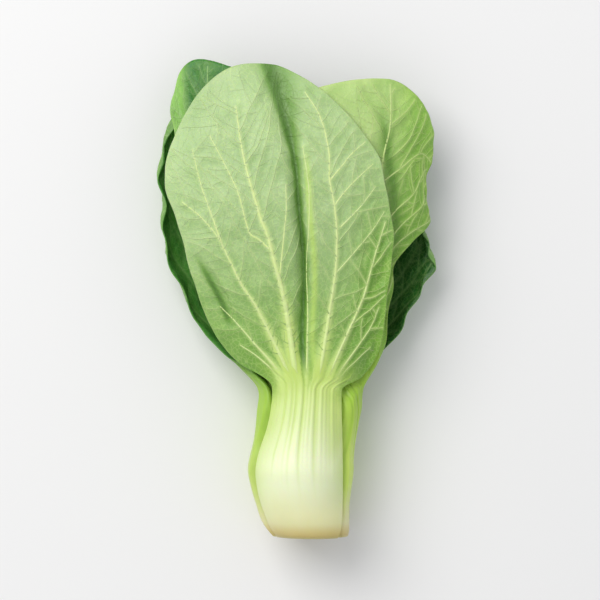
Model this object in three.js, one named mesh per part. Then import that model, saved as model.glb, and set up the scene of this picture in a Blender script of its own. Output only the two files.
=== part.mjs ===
import * as THREE from 'three';

// A whole head of baby bok choy, trimmed at the root and lying on its back.
// Millimetres, +Z up. The head's axis runs along +Y, from the cut end to the leaf
// tips, and Z = 0 is the surface it lies on. The origin is on the flat spot under
// the belly of the stalks. A height is the distance from the cut end along the axis.

// Driving dimensions
const BELLY_HEIGHT = 26;          // height of the widest place, where the origin is
const STALK_EDGE = 1.3;           // thickness of a stalk at its two thin edges
const BLADE_THICKNESS = 0.8;
const STALK_GAP = 0.5;            // air between two stalks
const BLADE_GAP = 1.3;            // air between two blades
const CORE_GAP = 0.15;            // air between the stem and the stalks round it
const LEAST_RADIUS = 0.35;        // no leaf comes nearer to the axis
const RIB_HEIGHT = 1.6;           // how much thicker a blade is along its midrib
const RIB_WIDTH = 3.2;
const RIPPLE_COUNT = 2.6;         // waves along the edge of a blade
const SMALL_RIPPLE_COUNT = 5.7;   // and the smaller ones laid over them

const RAD = Math.PI / 180;

// A smooth curve through points of [height, value], level beyond its ends
function through(points) {
  const last = points.length - 1;
  const slopes = points.map((point, i) => {
    const before = points[Math.max(i - 1, 0)];
    const after = points[Math.min(i + 1, last)];
    return (after[1] - before[1]) / (after[0] - before[0]);
  });
  return (height) => {
    if (height <= points[0][0]) return points[0][1];
    if (height >= points[last][0]) return points[last][1];
    const i = points.findIndex((point) => point[0] > height) - 1;
    const [h0, v0] = points[i];
    const [h1, v1] = points[i + 1];
    const span = h1 - h0;
    const t = (height - h0) / span;
    const turn = t * t * (3 - 2 * t);
    const bend = slopes[i] * t * (1 - t) ** 2 - slopes[i + 1] * t * t * (1 - t);
    return v0 + (v1 - v0) * turn + span * bend;
  };
}

function smoothstep(low, high, value) {
  const t = THREE.MathUtils.clamp((value - low) / (high - low), 0, 1);
  return t * t * (3 - 2 * t);
}

function softMin(a, b, reach) {
  const near = Math.max(reach - Math.abs(a - b), 0) / reach;
  return Math.min(a, b) - near * near * reach / 4;
}

// The whole head in cross-section is a set of nested shells round one axis: round
// at the stalks, and pressed flat and wide where the blades fan out. A place is
// an angle (degrees from +X, towards +Z), a height and a radius on that section.
const axisX = through([[0, 5.2], [6, 3.4], [13, 1.5], [22, 0.6], [30, 0.6], [50, 3], [62, 3.5],
  [85, 1.5], [120, 0], [195, -1]]);
const axisZ = through([[0, 20.4], [45, 20.4], [62, 19.5], [90, 17.6], [150, 17.3], [195, 15]]);
const spread = through([[0, 1], [34, 1], [50, 1.09], [60, 1.16], [70, 1.62], [82, 2.2], [95, 2.6],
  [120, 3], [150, 3.2], [195, 3.3]]);
const rise = through([[0, 1], [34, 1], [62, 0.9], [80, 0.9], [100, 0.98], [125, 1.06], [150, 1],
  [175, 0.86], [195, 0.74]]);

function ray(angle, height) {
  const across = spread(height) * Math.cos(angle * RAD);
  return new THREE.Vector3(across, 0, rise(height) * Math.sin(angle * RAD));
}

function pointAt({ angle, height, radius }) {
  const centre = new THREE.Vector3(axisX(height), height - BELLY_HEIGHT, axisZ(height));
  return centre.addScaledVector(ray(angle, height), radius);
}

// A line on a leaf, given by its angle or by its place across the head (X)
const around = (points) => through(points);

function across(points, radius) {
  const x = through(points);
  return (height) => {
    const share = (x(height) - axisX(height)) / (spread(height) * radius(height));
    return Math.acos(THREE.MathUtils.clamp(share, -0.998, 0.998)) / RAD;
  };
}

// The leaves, from the outermost to the heart, each about 137 degrees on from the
// last as they grew. first and last are a leaf's two edges, at the larger and the
// smaller angle. tip and corners are heights: a blade's top edge falls from the tip
// to a corner at each side edge. lean moves the tip towards first (under 0) or last.
const frontRadius = through([[0, 16], [2, 17], [6, 18.2], [12.7, 18.9], [19, 19.9], [26, 21],
  [31, 20.7], [40, 19.6], [52, 18.5], [62, 18], [80, 18.4], [110, 19.4], [140, 20], [165, 19.6],
  [190, 18.4]]);
const lowerRadius = through([[0, 16.2], [2, 17.4], [6, 18.9], [12.7, 19.4], [19, 20.6], [26, 21.7],
  [31, 21.3], [40, 19.8], [52, 18.6], [62, 18], [80, 19.6], [100, 21], [130, 20.8], [165, 20],
  [190, 18]]);
const rightRadius = through([[0, 14.2], [2, 15.2], [6, 16.5], [12.7, 18.5], [19, 20.1], [26, 21.3],
  [31, 21], [45, 20], [60, 19.2], [75, 17], [88, 16.2], [110, 16.4], [126, 17], [150, 16.8],
  [165, 17.6], [190, 16.6]]);
const leftRadius = through([[0, 21], [45, 18.4], [62, 17], [85, 15.4], [150, 15.6], [180, 16.2],
  [195, 16]]);
const underRadius = through([[0, 21], [45, 19], [62, 17.4], [85, 17.6], [100, 18.5], [114, 18.2],
  [128, 16.4], [150, 15.2], [190, 15]]);
const innerRadius = (atStalk, atBlade) => through([[0, 21], [40, atStalk + 2], [62, atStalk],
  [90, atBlade], [195, atBlade]]);

const leaves = [
  {
    name: 'leaf_front', colour: 0x9cc178, start: 0, neck: 61, tip: 190, corners: [150, 152], lean: -0.15,
    radius: frontRadius, cups: [0, 0], thickness: 1, ripple: 0.15, grid: [18, 10, 20], gather: 1.5,
    first: across([[0, -9.2], [3, -11.4], [6, -12.8], [13, -15.5], [20, -17.2], [27, -17.8], [33, -16.8],
      [38, -15.2], [44, -13.2], [52, -11.6], [61, -11.4], [64, -14.5], [70, -24.8], [82, -34.6], [97, -40.9],
      [121, -47.8], [139, -53.5], [147, -54.1], [160, -52]], frontRadius),
    last: across([[0, 15], [3, 16.2], [12, 17], [34, 17], [58, 16.6], [60.5, 17.6], [64, 24.6],
      [75, 31.8], [88, 33.8], [118, 37.2], [135, 35.3], [152, 31.5]], frontRadius),
    spine: across([[0, 4.5], [26, 0], [62, 2.5], [80, 0.7], [107, 1.7], [132, -0.5], [153, -2.9],
      [190, -13]], frontRadius),
    folds: [
      { line: through([[66, 1.8], [80, 0.7], [107, 1.7], [132, -0.5], [153, -2.9], [190, -13]]),
        depth: through([[64, 0], [82, 2.8], [110, 4], [150, 4], [170, 3.4], [190, 3.8]]),
        width: through([[64, 2.4], [150, 2.8], [172, 5.5], [190, 8.5]]) },
      { line: through([[84, -28], [95, -32], [122, -47]]),
        depth: through([[82, 0], [92, 1.4], [102, 1.2], [114, 0]]),
        width: through([[80, 3], [130, 3]]) },
    ],
  },
  {
    name: 'leaf_lower_left', colour: 0x3f8a35, start: 0, neck: 66, tip: 186, corners: [150, 168],
    lean: 0.1, radius: lowerRadius, cups: [-2.4, -2.6], thickness: 1, ripple: 0.6,
    grid: [14, 9, 16], gather: 1.15,
    first: around([[0, 302], [30, 300], [50, 284], [66, 277], [82, 296], [120, 306], [195, 300]]),
    last: around([[0, 144], [30, 138], [46, 142], [56, 144], [62, 150], [69, 170], [76, 187], [138, 188],
      [154, 197], [170, 204], [195, 204]]),
    spine: around([[0, 227], [66, 233], [120, 240], [195, 236]]), folds: [],
  },
  {
    name: 'leaf_right', colour: 0x8bba5e, start: 0, neck: 74, tip: 184, corners: [170, 154], lean: -0.1,
    radius: rightRadius, cups: [-1, 0], thickness: 1, ripple: 0.35, grid: [13, 10, 15], gather: 1.15,
    first: around([[0, 46], [5, 60], [13, 70], [30, 72], [50, 60], [74, 66], [95, 88], [120, 100],
      [195, 104]]),
    last: around([[0, -55], [7, -66], [30, -66], [50, -34], [62, -16], [74, 8], [88, 30], [104, 34],
      [111, 35], [119, 24], [127, 8], [143, 14], [163, 6]]),
    spine: around([[0, 5], [40, 9], [74, 42], [100, 52], [195, 48]]), folds: [],
  },
  {
    name: 'leaf_upper_left', colour: 0x6ba34c, start: 6, neck: 68, tip: 192, corners: [174, 160],
    lean: -0.15, radius: leftRadius, cups: [0, -1], thickness: 0.78, ripple: 0.4,
    grid: [12, 9, 15], gather: 1.15,
    first: around([[0, 212], [30, 208], [50, 184], [68, 178], [85, 167], [195, 166]]),
    last: around([[0, 72], [30, 76], [50, 100], [68, 106], [85, 90], [120, 82], [195, 84]]),
    spine: around([[0, 142], [68, 142], [110, 132], [195, 134]]), folds: [],
  },
  {
    name: 'leaf_lower_right', colour: 0x2f7a2c, start: 6, neck: 64, tip: 177, corners: [132, 150],
    lean: 0, radius: underRadius, cups: [0, -1], thickness: 0.78, ripple: 0.8,
    grid: [12, 8, 15], gather: 1.15,
    first: around([[0, 350], [30, 346], [50, 332], [64, 336], [82, 353], [195, 357]]),
    last: around([[0, 210], [30, 216], [50, 240], [64, 252], [85, 256], [195, 258]]),
    spine: around([[0, 280], [64, 294], [110, 308], [195, 304]]), folds: [],
  },
  {
    name: 'leaf_inner_1', colour: 0x7cb050, start: 10, neck: 62, tip: 165, corners: [146, 142], lean: 0,
    radius: innerRadius(14.5, 12), cups: [0, 0], thickness: 0.55, ripple: 0.8,
    grid: [10, 8, 12], gather: 1.1,
    first: around([[0, 92], [25, 102], [62, 98], [85, 110], [195, 112]]),
    last: around([[0, 16], [25, 10], [62, 22], [85, 12], [195, 14]]),
    spine: around([[0, 57], [195, 62]]), folds: [],
  },
  {
    name: 'leaf_inner_2', colour: 0x2f7a2c, start: 10, neck: 64, tip: 191, corners: [172, 160],
    lean: -0.2, radius: innerRadius(14, 13), cups: [0, 0], thickness: 0.55, ripple: 0.6,
    grid: [10, 8, 13], gather: 1.1,
    first: around([[0, 214], [25, 238], [64, 234], [85, 246], [195, 244]]),
    last: around([[0, 176], [25, 154], [64, 160], [85, 162], [195, 166]]),
    spine: around([[0, 195], [195, 208]]), folds: [],
  },
  {
    name: 'leaf_inner_3', colour: 0x4f9440, start: 11, neck: 58, tip: 152, corners: [130, 134], lean: 0.1,
    radius: innerRadius(12.5, 11), cups: [0, 0], thickness: 0.48, ripple: 0.8,
    grid: [10, 7, 12], gather: 1.1,
    first: around([[0, 346], [25, 372], [58, 366], [80, 376], [195, 374]]),
    last: around([[0, 316], [25, 294], [58, 298], [80, 276], [195, 268]]),
    spine: around([[0, 332], [195, 322]]), folds: [],
  },
  {
    name: 'leaf_inner_4', colour: 0x8dbe5a, start: 14, neck: 56, tip: 134, corners: [116, 112], lean: 0,
    radius: innerRadius(8.5, 8.4), cups: [0, 0], thickness: 0.38, ripple: 0.6,
    grid: [8, 7, 10], gather: 1.1,
    first: around([[0, 134], [30, 146], [56, 146], [80, 150], [195, 150]]),
    last: around([[0, 86], [30, 72], [56, 76], [80, 58], [195, 56]]),
    spine: around([[0, 110], [195, 104]]), folds: [],
  },
  {
    name: 'leaf_inner_5', colour: 0x6fab48, start: 16, neck: 54, tip: 122, corners: [104, 106], lean: 0,
    radius: innerRadius(7.5, 7.4), cups: [0, 0], thickness: 0.3, ripple: 0.6,
    grid: [8, 7, 9], gather: 1.1,
    first: around([[0, 258], [30, 280], [54, 282], [80, 300], [195, 302]]),
    last: around([[0, 234], [30, 214], [54, 212], [80, 202], [195, 200]]),
    spine: around([[0, 247], [195, 252]]), folds: [],
  },
  {
    name: 'leaf_heart', colour: 0xa9cf6b, start: 22, neck: 44, tip: 92, corners: [82, 82], lean: 0,
    radius: innerRadius(4.6, 4.6), cups: [0, 0], thickness: 0.24, ripple: 0.4,
    grid: [8, 6, 7], gather: 1,
    first: around([[18, 50], [30, 66], [44, 70], [60, 92], [195, 96]]),
    last: around([[18, 4], [30, -10], [44, -16], [60, -34], [195, -38]]),
    spine: around([[0, 26], [195, 28]]), folds: [],
  },
];

// Half width of the leaf stem that all the leaves grew on, a cone inside the head
const coreRadius = through([[0, 9.3], [3, 8.4], [6, 5.6], [9, 2.6], [12, 1], [15, 0.4]]);
const CORE_HEIGHTS = [0, 3, 5, 7, 9, 11, 13, 14.6];
const CORE_SIDES = 32;
const stalkThickness = through([[0, 7], [3, 6.3], [10, 5.9], [24, 6.1], [40, 6], [62, 4.8]]);

// The room left inside the leaves placed so far: a grid of the largest free radius
// over angle and height, as a share of the front leaf's radius. Each leaf takes its
// part, and the next ones stay inside.
const SECTORS = 72;
const RING_STEP = 2.5;
const RINGS = 80;
const OPEN_SHARE = 1.3;
const SPREAD_CELLS = 1;
const freeShare = Array.from({ length: RINGS }, () => new Array(SECTORS).fill(OPEN_SHARE));
let room = freeShare.map((row) => [...row]);

const wrap = (sector) => ((sector % SECTORS) + SECTORS) % SECTORS;

function roomAt(angle, height) {
  const sector = wrap(angle / 360 * SECTORS);
  const ring = THREE.MathUtils.clamp(height / RING_STEP, 0, RINGS - 1.001);
  const [a, r] = [Math.floor(sector), Math.floor(ring)];
  const lerp = THREE.MathUtils.lerp;
  const below = lerp(room[r][a], room[r][wrap(a + 1)], sector - a);
  const above = lerp(room[r + 1][a], room[r + 1][wrap(a + 1)], sector - a);
  return lerp(below, above, ring - r) * frontRadius(height);
}

// Gathers each cell's neighbours, twice: the least of them, then their mean, which
// is smooth and nowhere larger than the cell itself
function overNeighbours(grid, gather) {
  return grid.map((row, ring) => row.map((cell, sector) => {
    const values = [];
    for (let dr = -SPREAD_CELLS; dr <= SPREAD_CELLS; dr++) {
      const near = grid[THREE.MathUtils.clamp(ring + dr, 0, RINGS - 1)];
      for (let ds = -SPREAD_CELLS; ds <= SPREAD_CELLS; ds++) values.push(near[wrap(sector + ds)]);
    }
    return gather(values);
  }));
}

const least = (values) => Math.min(...values);
const mean = (values) => values.reduce((sum, value) => sum + value, 0) / values.length;

// Where a leaf's place (side, along) is on the head. side is -1 at the first edge, 0
// on the spine and 1 at the last edge. along is 0 to 1 up the stalk, 1 to 2 up the blade.
const DROP_POWER = 1.6;
const ARCH_POWER = 2.1;

function anglesAndHeight(leaf, side, along) {
  const blade = Math.max(along - 1, 0);
  const middle = along <= 1
    ? leaf.start + (leaf.neck - leaf.start) * along
    : leaf.neck + (leaf.tip - leaf.neck) * blade;
  const drops = leaf.corners.map((corner) => (leaf.tip - corner) * blade ** DROP_POWER);
  const fromTip = side - leaf.lean;
  const drop = fromTip < 0 ? drops[0] : drops[1];
  const reach = fromTip < 0 ? 1 + leaf.lean : 1 - leaf.lean;
  const height = middle - drop * Math.min(Math.abs(fromTip / reach), 1) ** ARCH_POWER;
  const spine = leaf.spine(middle);
  const edge = side < 0 ? leaf.first(middle - drops[0]) : leaf.last(middle - drops[1]);
  return { angle: spine + (edge - spine) * Math.abs(side), height, blade };
}

function foldDepth(leaf, angle, height, radius) {
  const x = axisX(height) + ray(angle, height).x * radius;
  return leaf.folds.reduce((depth, fold) => {
    const away = (x - fold.line(height)) / fold.width(height);
    return depth + fold.depth(height) * Math.exp(-away * away);
  }, 0);
}

function floorRadius(angle, height) {
  const down = -ray(angle, height).z;
  return down > 0 ? axisZ(height) / down : Infinity;
}

function outside(leaf, side, along) {
  const { angle, height, blade } = anglesAndHeight(leaf, side, along);
  const bladeShare = smoothstep(0, 0.35, blade);
  const cup = (side < 0 ? leaf.cups[0] : leaf.cups[1]) * side * side * bladeShare;
  const start = leaf.spine(0) + (side < 0 ? 2 : 0);
  const waves = 0.65 * Math.sin(2 * Math.PI * RIPPLE_COUNT * blade + start)
    + 0.45 * Math.sin(2 * Math.PI * SMALL_RIPPLE_COUNT * blade + 2.3 * start);
  const ripple = leaf.ripple * bladeShare * Math.abs(side) ** 1.5 * waves;
  const wanted = leaf.radius(height) + cup + ripple;
  const folded = wanted - foldDepth(leaf, angle, height, wanted);
  const gap = THREE.MathUtils.lerp(STALK_GAP, BLADE_GAP, smoothstep(40, 75, height));
  const inRoom = softMin(folded, roomAt(angle, height) - gap, 1.2);
  return { angle, height, blade, radius: Math.min(inRoom, floorRadius(angle, height)) };
}

// Thickness at a place: a fat crescent in the stalk, and in the blade a thin sheet,
// thicker along its midrib
function thicknessAt(leaf, side, place) {
  const fat = stalkThickness(place.height) * leaf.thickness;
  const edge = STALK_EDGE * (0.6 + 0.4 * leaf.thickness);
  const crescent = edge + Math.max(fat - edge, 0) * (1 - side * side) ** 1.1;
  const middle = leaf.spine(place.height);
  const perDegree = RAD * place.radius * Math.hypot(
    spread(place.height) * Math.sin(place.angle * RAD), rise(place.height) * Math.cos(place.angle * RAD));
  const fromRib = (place.angle - middle) * perDegree / RIB_WIDTH;
  const rib = RIB_HEIGHT * leaf.thickness * (1 - 0.7 * place.blade) * Math.exp(-fromRib * fromRib);
  const sheet = BLADE_THICKNESS + rib;
  return THREE.MathUtils.lerp(crescent, sheet, smoothstep(leaf.neck - 6, leaf.neck + 16, place.height));
}

// The outer and the inner point at a place. Both lie on one ray from the axis, and
// their distance along it gives the thickness square to the surface.
const NUDGE = 0.002;
const STEEPEST = 0.55;

function bothFaces(leaf, side, along) {
  const place = outside(leaf, side, along);
  const sides = [Math.max(side - NUDGE, -1), Math.min(side + NUDGE, 1)];
  const alongs = [Math.max(along - NUDGE, 0), Math.min(along + NUDGE, 2)];
  const [left, right] = sides.map((value) => pointAt(outside(leaf, value, along)));
  const [down, up] = alongs.map((value) => pointAt(outside(leaf, side, value)));
  const normal = right.sub(left).cross(up.sub(down)).normalize();
  const outwards = ray(place.angle, place.height);
  const slant = Math.max(Math.abs(outwards.dot(normal)), STEEPEST * outwards.length());
  const wanted = place.radius - thicknessAt(leaf, side, place) / slant;
  const inner = Math.max(wanted, coreRadius(place.height) + CORE_GAP, LEAST_RADIUS);
  return { outer: place, inner: { ...place, radius: inner } };
}

// Takes a leaf's share of the room, a little past its edges
const CLAIM_SIDES = 90;
const CLAIM_ALONGS = 260;
const CLAIM_PAST = 1.1;

function claimRoom(leaf) {
  for (let i = 0; i <= CLAIM_SIDES; i++) {
    const reach = CLAIM_PAST * (2 * i / CLAIM_SIDES - 1);
    const side = THREE.MathUtils.clamp(reach, -1, 1);
    for (let j = 0; j <= CLAIM_ALONGS; j++) {
      const along = 2 * j / CLAIM_ALONGS;
      const { inner } = bothFaces(leaf, side, along);
      const { angle } = anglesAndHeight(leaf, reach, along);
      const sector = wrap(Math.round(angle / 360 * SECTORS));
      const ring = THREE.MathUtils.clamp(Math.round(inner.height / RING_STEP), 0, RINGS - 1);
      const share = inner.radius / frontRadius(inner.height);
      freeShare[ring][sector] = Math.min(freeShare[ring][sector], share);
    }
  }
  room = overNeighbours(overNeighbours(freeShare, least), mean);
}

// One closed body from two sheets of points, alike row by row and split alike into
// triangles, with a rim between them. outer and inner are rows of places.
function bodyBetween(outer, inner) {
  const [rows, columns] = [outer.length, outer[0].length];
  const points = [...outer.flat(), ...inner.flat()].map(pointAt);
  const at = (row, column) => row * columns + column;
  const back = rows * columns;
  const triangles = [];
  const quad = (a, b, c, d) => triangles.push(a, b, c, a, c, d);
  for (let row = 0; row < rows - 1; row++) {
    for (let column = 0; column < columns - 1; column++) {
      const [a, b] = [at(row, column), at(row, column + 1)];
      const [c, d] = [at(row + 1, column + 1), at(row + 1, column)];
      quad(a, b, c, d);
      triangles.push(back + a, back + c, back + b, back + a, back + d, back + c);
    }
  }
  const rim = [];
  for (let column = 0; column < columns - 1; column++) rim.push(at(0, column));
  for (let row = 0; row < rows - 1; row++) rim.push(at(row, columns - 1));
  for (let column = columns - 1; column > 0; column--) rim.push(at(rows - 1, column));
  for (let row = rows - 1; row > 0; row--) rim.push(at(row, 0));
  rim.forEach((a, i) => {
    const b = rim[(i + 1) % rim.length];
    quad(b, a, back + a, back + b);
  });
  return closedBody(points, triangles);
}

function closedBody(points, triangles) {
  const geometry = new THREE.BufferGeometry();
  geometry.setAttribute('position', new THREE.Float32BufferAttribute(points.flatMap((p) => p.toArray()), 3));
  geometry.setIndex(triangles);
  geometry.computeVertexNormals();
  return geometry;
}

function leafGeometry(leaf) {
  const [columns, stalkRows, bladeRows] = leaf.grid;
  const sides = Array.from({ length: columns + 1 }, (_, i) => {
    const even = 2 * i / columns - 1;
    return Math.sign(even) * Math.abs(even) ** leaf.gather;
  });
  const alongs = [];
  for (let row = 0; row < stalkRows; row++) alongs.push(row / stalkRows);
  for (let row = 0; row <= bladeRows; row++) alongs.push(1 + (row / bladeRows) ** 1.25);
  const places = alongs.map((along) => sides.map((side) => bothFaces(leaf, side, along)));
  const sheet = (face) => places.map((row) => row.map((place) => place[face]));
  return bodyBetween(sheet('outer'), sheet('inner'));
}

// The stem: rings of points up the cone, closed by a fan at each end
function stemGeometry() {
  const points = [];
  const triangles = [];
  CORE_HEIGHTS.forEach((height) => {
    for (let i = 0; i < CORE_SIDES; i++) {
      points.push(pointAt({ angle: 360 * i / CORE_SIDES, height, radius: coreRadius(height) }));
    }
  });
  for (let ring = 0; ring < CORE_HEIGHTS.length - 1; ring++) {
    for (let i = 0; i < CORE_SIDES; i++) {
      const next = (i + 1) % CORE_SIDES;
      const [a, b] = [ring * CORE_SIDES + i, ring * CORE_SIDES + next];
      triangles.push(a, a + CORE_SIDES, b + CORE_SIDES, a, b + CORE_SIDES, b);
    }
  }
  const top = (CORE_HEIGHTS.length - 1) * CORE_SIDES;
  const [cut, peak] = [0, CORE_HEIGHTS.at(-1)].map((height) => (
    points.push(pointAt({ angle: 0, height, radius: 0 })) - 1));
  for (let i = 0; i < CORE_SIDES; i++) {
    const next = (i + 1) % CORE_SIDES;
    triangles.push(cut, i, next, peak, top + next, top + i);
  }
  return closedBody(points, triangles);
}

function piece(name, geometry, colour) {
  const material = new THREE.MeshStandardMaterial({ color: colour, roughness: 0.5, metalness: 0 });
  const mesh = new THREE.Mesh(geometry, material);
  mesh.name = name;
  return mesh;
}

const head = new THREE.Group();
head.name = 'bok_choy';
head.add(piece('stem_base', stemGeometry(), 0xe6e8b8));
leaves.forEach((leaf) => {
  head.add(piece(leaf.name, leafGeometry(leaf), leaf.colour));
  claimRoom(leaf);
});

export default head;
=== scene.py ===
import math

import bpy
import numpy as np
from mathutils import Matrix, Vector, kdtree


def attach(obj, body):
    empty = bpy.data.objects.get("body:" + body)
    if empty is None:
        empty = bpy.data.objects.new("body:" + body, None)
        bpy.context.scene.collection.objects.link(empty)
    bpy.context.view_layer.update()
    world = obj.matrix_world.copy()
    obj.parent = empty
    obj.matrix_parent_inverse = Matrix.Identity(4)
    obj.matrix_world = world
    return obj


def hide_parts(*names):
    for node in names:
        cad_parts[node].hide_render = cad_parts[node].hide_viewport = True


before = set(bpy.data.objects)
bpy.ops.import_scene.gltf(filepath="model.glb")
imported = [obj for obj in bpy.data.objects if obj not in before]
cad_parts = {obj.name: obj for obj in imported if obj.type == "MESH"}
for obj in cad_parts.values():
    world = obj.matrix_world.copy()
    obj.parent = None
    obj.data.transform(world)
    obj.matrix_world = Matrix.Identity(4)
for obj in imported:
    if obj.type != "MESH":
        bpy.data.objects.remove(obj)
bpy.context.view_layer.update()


# The camera looks straight down on the head, which lies on its back with its leaf
# tips towards the top of the picture, as a cook sees it on the table.
CAMERA_HEIGHT = 1.1
VIEW_WIDTH = 0.242
VIEW_CENTRE = (0.0, 0.069, 0.02)


def placed(name, data, location=(0, 0, 0)):
    """A new object in the scene."""
    made = bpy.data.objects.new(name, data)
    made.location = location
    bpy.context.scene.collection.objects.link(made)
    return made


camera_data = bpy.data.cameras.new("camera")
camera_data.sensor_width = 36.0
camera_data.lens = camera_data.sensor_width * CAMERA_HEIGHT / VIEW_WIDTH
camera_data.dof.use_dof = False
overhead = (VIEW_CENTRE[0], VIEW_CENTRE[1], VIEW_CENTRE[2] + CAMERA_HEIGHT)
bpy.context.scene.camera = placed("camera", camera_data, overhead)


# The table top is a plain white board, and the light is a bright overcast sky with
# one large soft window at the upper left, so shadows are faint and warm.
def srgb(red, green, blue):
    """A colour as the eye names it, 0 to 255, in the light's own scale."""
    channels = [value / 255 for value in (red, green, blue)]
    linear = [c / 12.92 if c <= 0.04045 else ((c + 0.055) / 1.055) ** 2.4 for c in channels]
    return (*linear, 1.0)


def named_material(name, roughness):
    """A new material with one Principled shader, and its node tree."""
    material = bpy.data.materials.new(name)
    material.use_nodes = True
    shader = material.node_tree.nodes["Principled BSDF"]
    shader.inputs["Roughness"].default_value = roughness
    return material, material.node_tree, shader


FLOOR_SIZE = 3.0
SKY_STRENGTH = 0.645
WINDOW_WATTS = 20.0
WINDOW_SIZE = 1.3
WINDOW_PLACE = (-0.75, 0.95, 1.25)

floor_mesh = bpy.data.meshes.new("table_top")
far, near = FLOOR_SIZE / 2, -FLOOR_SIZE / 2
floor_mesh.from_pydata([(near, near, 0), (far, near, 0), (far, far, 0), (near, far, 0)], [], [(0, 1, 2, 3)])
board, _, board_shader = named_material("white_board", 0.7)
board_shader.inputs["Base Color"].default_value = srgb(238, 238, 238)
floor_mesh.materials.append(board)
placed("table_top", floor_mesh)

world = bpy.data.worlds.new("overcast")
world.use_nodes = True
sky = world.node_tree.nodes["Background"]
sky.inputs["Color"].default_value = srgb(249, 250, 253)
sky.inputs["Strength"].default_value = SKY_STRENGTH
bpy.context.scene.world = world

window_data = bpy.data.lights.new("window", "AREA")
window_data.size = WINDOW_SIZE
window_data.energy = WINDOW_WATTS
window_data.color = (1.0, 0.985, 0.95)
window = placed("window", window_data, WINDOW_PLACE)
aim = Vector(VIEW_CENTRE) - Vector(WINDOW_PLACE)
window.rotation_euler = aim.to_track_quat("-Z", "Y").to_euler()
bpy.context.scene.view_settings.view_transform = "Standard"


# The stem is the short core that every leaf grew on, tapering to the growing tip, with
# the head as nested shells round it. It is firm white tissue, cut off flat at the root
# with a knife, and the air has dried its rim to tan.
MM = 0.001
BELLY_HEIGHT = 26.0
HEAD_LENGTH = 195


def through(*points):
    """A smooth curve through (height, value) points, level beyond its ends."""
    heights, values = np.array(points, dtype=float).T
    slopes = np.empty_like(values)
    slopes[1:-1] = (values[2:] - values[:-2]) / (heights[2:] - heights[:-2])
    slopes[0] = (values[1] - values[0]) / (heights[1] - heights[0])
    slopes[-1] = (values[-1] - values[-2]) / (heights[-1] - heights[-2])

    def curve(height):
        height = np.clip(height, heights[0], heights[-1])
        i = np.clip(np.searchsorted(heights, height, side="right") - 1, 0, len(heights) - 2)
        span = heights[i + 1] - heights[i]
        t = (height - heights[i]) / span
        turn = t * t * (3 - 2 * t)
        bend = slopes[i] * t * (1 - t) ** 2 - slopes[i + 1] * t * t * (1 - t)
        return values[i] + (values[i + 1] - values[i]) * turn + span * bend
    return curve


axis_x = through((0, 5.2), (6, 3.4), (13, 1.5), (22, 0.6), (30, 0.6), (50, 3), (62, 3.5), (85, 1.5),
                 (120, 0), (195, -1))
axis_z = through((0, 20.4), (45, 20.4), (62, 19.5), (90, 17.6), (150, 17.3), (195, 15))
spread = through((0, 1), (34, 1), (50, 1.09), (60, 1.16), (70, 1.62), (82, 2.2), (95, 2.6), (120, 3),
                 (150, 3.2), (195, 3.3))
rise = through((0, 1), (34, 1), (62, 0.9), (80, 0.9), (100, 0.98), (125, 1.06), (150, 1), (175, 0.86),
               (195, 0.74))


def ray(angle, height):
    """Which way a shell's points lie from the axis, by angle from +X towards +Z."""
    turn = np.radians(angle)
    wide, deep = spread(height) * np.cos(turn), rise(height) * np.sin(turn)
    return np.stack([wide, np.zeros_like(turn), deep], axis=-1)


def point_at(angle, height, radius):
    """A place on the head, in millimetres, with its height taken up from the cut end."""
    centre = np.stack([axis_x(height), height - BELLY_HEIGHT, axis_z(height)], axis=-1)
    return centre + ray(angle, height) * np.asarray(radius)[..., None]


def drawn(name, points, edges, faces):
    """A mesh object at the origin, from points in millimetres."""
    mesh = bpy.data.meshes.new(name)
    mesh.from_pydata((np.asarray(points) * MM).tolist(), edges, faces)
    return placed(name, mesh)


def solid(name, points, faces, material):
    """A smooth closed piece."""
    made = drawn(name, points, [], faces)
    made.data.materials.append(material)
    made.data.shade_smooth()
    return made


CORE_TIP = 14.6
CORE_SIDES = 96
CORE_RINGS = 30
FACE_RINGS = 14
CUT_SWELL = 0.15
PITH_RAYS = 9
RAY_DEPTH = 0.12
core_radius = through((0, 9.3), (3, 8.4), (6, 5.6), (9, 2.6), (12, 1), (15, 0.4))


def stem_solid(material):
    """Rings over the cut face from its middle, and then up the cone."""
    turns = np.linspace(0, 360, CORE_SIDES, endpoint=False)
    rings = [(0.0, share) for share in np.linspace(0.04, 0.97, FACE_RINGS)]
    rings += [(height, 1.0) for height in np.linspace(0.25, CORE_TIP, CORE_RINGS)]
    points = []
    for height, share in rings:
        at_cut = height < 1
        rays = RAY_DEPTH * np.cos(np.radians(turns * PITH_RAYS)) * share * at_cut
        swell = CUT_SWELL * (1 - share) * at_cut
        radius = core_radius(height) * share + rays
        points.append(point_at(turns, np.full(CORE_SIDES, height + swell), radius))
    faces = []
    for ring in range(len(rings) - 1):
        for i in range(CORE_SIDES):
            a, b = ring * CORE_SIDES + i, ring * CORE_SIDES + (i + 1) % CORE_SIDES
            faces.append((a, a + CORE_SIDES, b + CORE_SIDES, b))
    last = (len(rings) - 1) * CORE_SIDES
    faces.append(list(range(CORE_SIDES)))
    faces.append(list(range(last, last + CORE_SIDES))[::-1])
    return solid("stem", np.concatenate(points), faces, material)


def feed(tree, node, inputs):
    """Gives a node its inputs, each a value or what another node puts out."""
    for socket, value in inputs.items():
        if isinstance(value, bpy.types.NodeSocket):
            tree.links.new(value, node.inputs[socket])
        else:
            node.inputs[socket].default_value = value


def add(tree, kind, inputs, **settings):
    """The outputs of a new node."""
    node = tree.nodes.new(kind)
    for name, value in settings.items():
        setattr(node, name, value)
    feed(tree, node, inputs)
    return node.outputs


def noise(tree, scale, detail=2, output="Fac"):
    """Cloudy noise through the piece."""
    place = add(tree, "ShaderNodeTexCoord", {})["Object"]
    return add(tree, "ShaderNodeTexNoise", {"Vector": place, "Scale": scale, "Detail": detail})[output]


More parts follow.
